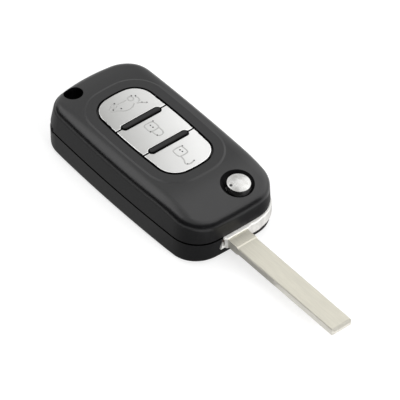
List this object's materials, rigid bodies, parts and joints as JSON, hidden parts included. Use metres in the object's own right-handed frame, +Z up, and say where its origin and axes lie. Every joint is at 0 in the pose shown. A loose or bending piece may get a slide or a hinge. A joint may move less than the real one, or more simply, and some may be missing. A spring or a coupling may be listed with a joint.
{
  "type": "flip remote key",
  "caption": "Flip-out car key with a remote: a black moulded housing, silver keypad, chrome release button and a plain blade that folds into a slot in the side.",
  "frame": {"origin": "middle of the whole key's box, with the blade turned out, on the surface that the key's back lies on", "axes": "+X from the key ring end to the blade's tip, +Y to the side with the blade's slot, +Z up through the keypad"},
  "size_m": [0.1124, 0.033, 0.017],
  "materials": {
    "shell_plastic": "fine satin grain, black",
    "mat_rubber": "matte, dark grey",
    "cap_silver": "satin silver paint",
    "plunger_plastic": "plain, cream",
    "switch_body": "plain, black",
    "board_laminate": "solder mask, green",
    "chip_resin": "plain, black",
    "crystal_can": "plain, bright",
    "coil_block": "plain, dark brown",
    "cell_steel": "satin nickel plating",
    "contact_steel": "tin plating",
    "head_metal": "bright nickel plating on a casting",
    "blade_steel": "satin nickel plating",
    "button_chrome": "satin chrome",
    "spring_steel": "plain spring wire"
  },
  "bodies": {
    "housing": {"upper_shell": "shell_plastic", "lower_shell": "shell_plastic", "keypad_mat": "mat_rubber", "circuit_board": "board_laminate", "trunk_switch": "switch_body", "lock_switch": "switch_body", "unlock_switch": "switch_body", "control_chip": "chip_resin", "radio_crystal": "crystal_can", "transponder_coil": "coil_block", "coin_cell": "cell_steel", "battery_positive_contact": "contact_steel", "battery_negative_contact": "contact_steel"},
    "blade_unit": {"flip_head": "head_metal", "key_blade": "blade_steel", "blade_pin": "spring_steel", "spring_anchor": "spring_steel", "flip_spring": "spring_steel"},
    "release": {"release_button": "button_chrome"},
    "trunk_button": {"trunk_cap": "cap_silver", "trunk_plunger": "plunger_plastic"},
    "lock_button": {"lock_cap": "cap_silver", "lock_plunger": "plunger_plastic"},
    "unlock_button": {"unlock_cap": "cap_silver", "unlock_plunger": "plunger_plastic"}
  },
  "joints": [
    {"name": "blade_flip", "type": "hinge", "parent": "housing", "child": "blade_unit", "pos_m": [0.0047, 0.0055, 0.0036], "axis": [0, 0, 1], "range_deg": [0, 180], "stiffness_Nm_per_rad": 0.008},
    {"name": "release_press", "type": "slide", "parent": "housing", "child": "release", "axis": [0, 0, -1], "range_m": [0, 0.0015], "stiffness_N_per_m": 1200, "deforming": ["flip_spring"]},
    {"name": "trunk_press", "type": "slide", "parent": "housing", "child": "trunk_button", "axis": [0, 0, -1], "range_m": [0, 0.0003], "stiffness_N_per_m": 3000},
    {"name": "lock_press", "type": "slide", "parent": "housing", "child": "lock_button", "axis": [0, 0, -1], "range_m": [0, 0.0003], "stiffness_N_per_m": 3000},
    {"name": "unlock_press", "type": "slide", "parent": "housing", "child": "unlock_button", "axis": [0, 0, -1], "range_m": [0, 0.0003], "stiffness_N_per_m": 3000}
  ]
}
